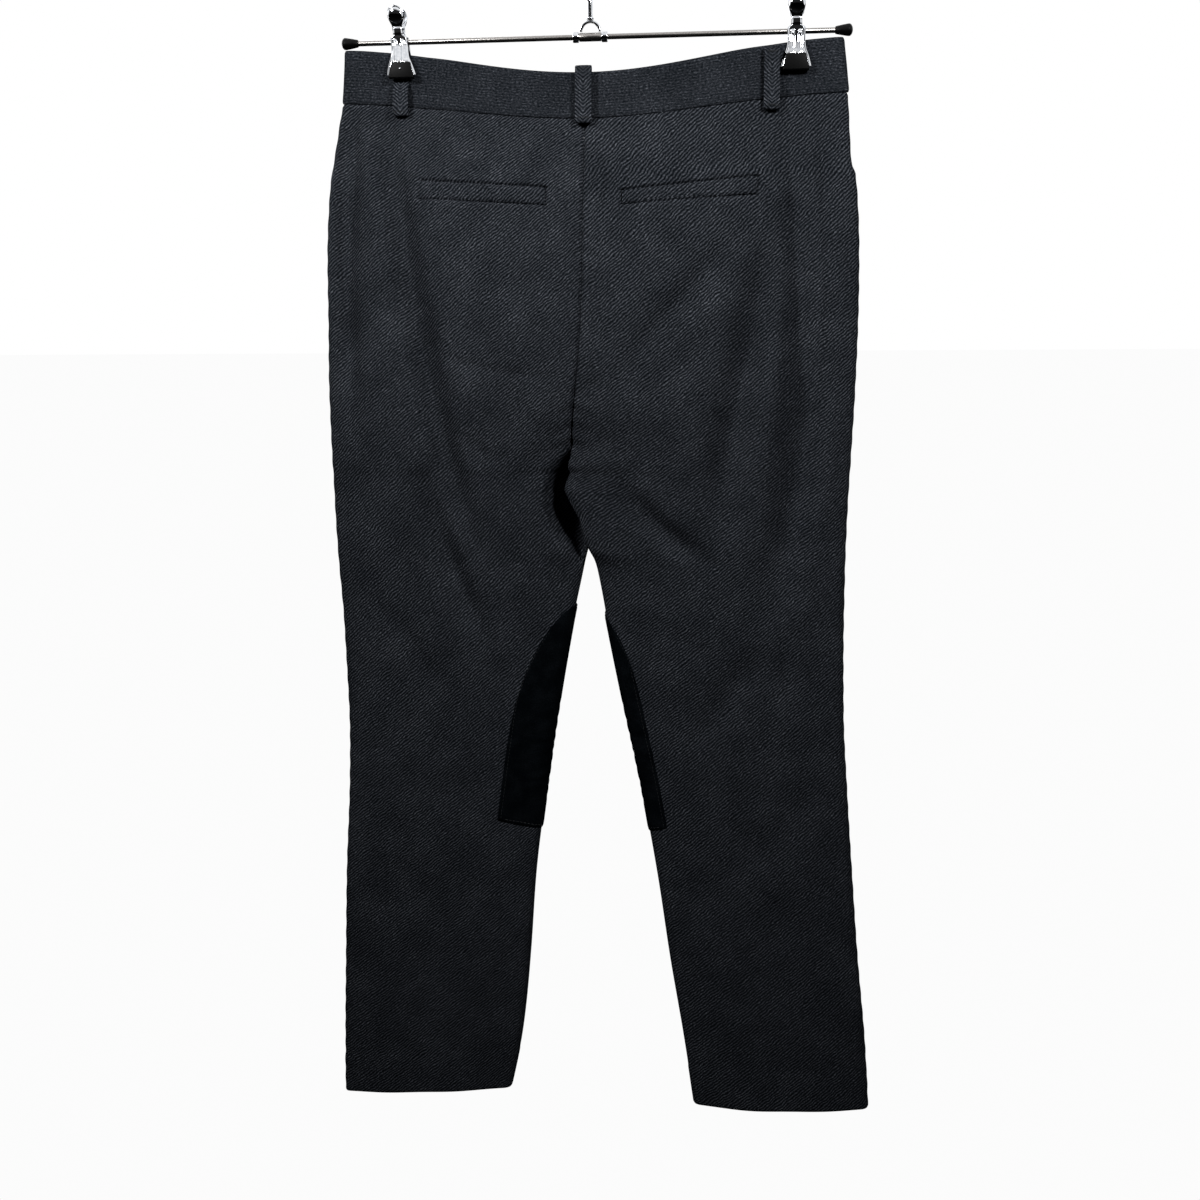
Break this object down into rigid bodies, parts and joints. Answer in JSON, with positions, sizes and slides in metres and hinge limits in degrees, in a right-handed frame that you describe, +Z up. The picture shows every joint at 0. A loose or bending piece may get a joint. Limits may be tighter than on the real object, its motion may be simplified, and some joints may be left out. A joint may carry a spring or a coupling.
{
  "type": "dress trousers on a clip hanger",
  "caption": "Slim flat-front dress trousers with inner-leg patches, hung by the waistband from a metal bar hanger with two rubber-tipped clips.",
  "frame": {"origin": "inner top of the hanger's hook, where it rests on a rail", "axes": "+Z up, +X towards the wearer's left, +Y towards the wearer's back"},
  "size_m": [0.4974, 0.0668, 1.0381],
  "materials": {
    "wool_twill": "charcoal melange wool twill, matte",
    "suede": "near-black suede, matte",
    "zip_tape": "black zip tape with small teeth",
    "horn": "dark horn, soft shine",
    "bar_steel": "grey satin steel",
    "bright_chrome": "polished",
    "black_rubber": "black, matte"
  },
  "bodies": {
    "root": {"back_left": "wool_twill", "front_left": "wool_twill", "back_right": "wool_twill", "front_right": "wool_twill", "pocket_left": "wool_twill", "pocket_right": "wool_twill", "waistband_back": "wool_twill", "waistband_front_left": "wool_twill", "waistband_front_right": "wool_twill", "loop_back_center": "wool_twill", "loop_back_left": "wool_twill", "loop_back_right": "wool_twill", "loop_front_left": "wool_twill", "loop_front_right": "wool_twill", "welt_left": "wool_twill", "welt_right": "wool_twill", "fly_lap": "wool_twill", "patch_left": "suede", "patch_right": "suede", "fly_zip": "zip_tape", "waist_button": "horn", "hanger_bar": "bar_steel", "sleeve": "bar_steel", "collar_left": "bright_chrome", "collar_right": "bright_chrome", "hook": "bright_chrome", "hook_ring": "bright_chrome", "clip_left_back": "bright_chrome", "clip_left_front": "bright_chrome", "clip_right_back": "bright_chrome", "clip_right_front": "bright_chrome", "cap_left": "black_rubber", "cap_right": "black_rubber", "boot_left_back": "black_rubber", "boot_left_front": "black_rubber", "boot_right_back": "black_rubber", "boot_right_front": "black_rubber"}
  },
  "joints": []
}
